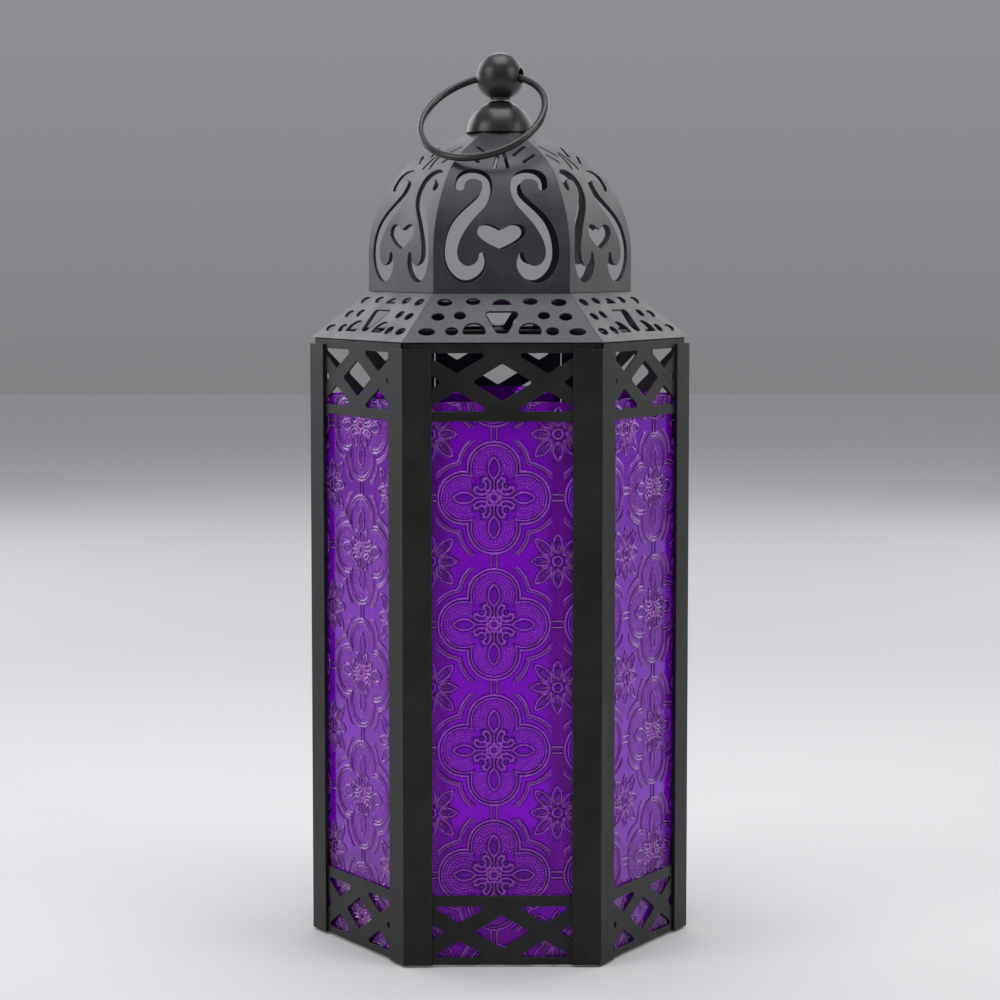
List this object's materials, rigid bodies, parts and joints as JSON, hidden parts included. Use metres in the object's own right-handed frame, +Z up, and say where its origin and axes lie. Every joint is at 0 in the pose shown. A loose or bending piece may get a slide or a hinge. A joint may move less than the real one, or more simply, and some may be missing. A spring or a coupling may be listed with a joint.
{
  "type": "candle lantern",
  "caption": "Hexagonal sheet-metal candle lantern with embossed violet glass panes, pierced dome roof, hinged door and carrying ring.",
  "frame": {"origin": "on the ground under the middle of the hexagonal base", "axes": "+Z up along the lantern's axis, -Y towards the front face, +Y towards the door"},
  "size_m": [0.1458, 0.1322, 0.3393],
  "materials": {
    "body_metal": "matte black powder coat",
    "roof_metal": "matte black powder coat",
    "inner_metal": "matte black",
    "finial_metal": "satin black",
    "hardware_metal": "satin black",
    "zinc_steel": "zinc plated",
    "plate_metal": "bare zinc-coated sheet",
    "violet_glass": "embossed on the outer face"
  },
  "bodies": {
    "frame": {"base_tray": "plate_metal", "candle_plate": "plate_metal", "candle_plate_rivet": "zinc_steel", "corner_post_back_left": "body_metal", "corner_post_back_right": "body_metal", "corner_post_front_left": "body_metal", "corner_post_front_right": "body_metal", "corner_post_left": "body_metal", "corner_post_right": "body_metal", "dome_gore_back": "roof_metal", "dome_gore_front": "roof_metal", "dome_gore_left_back": "roof_metal", "dome_gore_left_front": "roof_metal", "dome_gore_right_back": "roof_metal", "dome_gore_right_front": "roof_metal", "door_header": "inner_metal", "door_stops": "inner_metal", "finial_ball": "finial_metal", "finial_collar": "finial_metal", "finial_cup": "finial_metal", "finial_nut": "zinc_steel", "finial_stud": "zinc_steel", "finial_washer": "zinc_steel", "glass_pane_front": "violet_glass", "glass_pane_left_back": "violet_glass", "glass_pane_left_front": "violet_glass", "glass_pane_right_back": "violet_glass", "glass_pane_right_front": "violet_glass", "glass_tabs": "inner_metal", "hinge_frame_leaf_lower": "hardware_metal", "hinge_frame_leaf_upper": "hardware_metal", "hinge_frame_rivets": "hardware_metal", "hinge_pins": "zinc_steel", "latch_rivet": "hardware_metal", "latch_washer": "hardware_metal", "roof_rivets": "zinc_steel", "roof_skirt_back": "roof_metal", "roof_skirt_front": "roof_metal", "roof_skirt_left_back": "roof_metal", "roof_skirt_left_front": "roof_metal", "roof_skirt_right_back": "roof_metal", "roof_skirt_right_front": "roof_metal", "side_panel_front": "body_metal", "side_panel_left_back": "body_metal", "side_panel_left_front": "body_metal", "side_panel_right_back": "body_metal", "side_panel_right_front": "body_metal", "top_frame": "inner_metal"},
    "door": {"door_panel": "body_metal", "glass_pane_door": "violet_glass", "door_glass_tabs": "inner_metal", "door_knob": "finial_metal", "hinge_door_leaf_lower": "hardware_metal", "hinge_door_leaf_upper": "hardware_metal", "hinge_door_rivets": "hardware_metal"},
    "latch": {"latch_button": "hardware_metal"},
    "ring": {"carry_ring": "finial_metal"}
  },
  "joints": [
    {"name": "door_hinge", "type": "hinge", "parent": "frame", "child": "door", "pos_m": [0.0256, 0.06482, 0.115], "axis": [0, 0, -1], "range_deg": [0, 150]},
    {"name": "latch_turn", "type": "hinge", "parent": "frame", "child": "latch", "pos_m": [-0.031, 0.0642, 0.115], "axis": [0, 1, 0], "range_deg": [0, 90]},
    {"name": "ring_swing", "type": "hinge", "parent": "frame", "child": "ring", "pos_m": [0, 0, 0.3302], "axis": [-0.9278, 0.373, 0], "range_deg": [0, 262.6]}
  ]
}
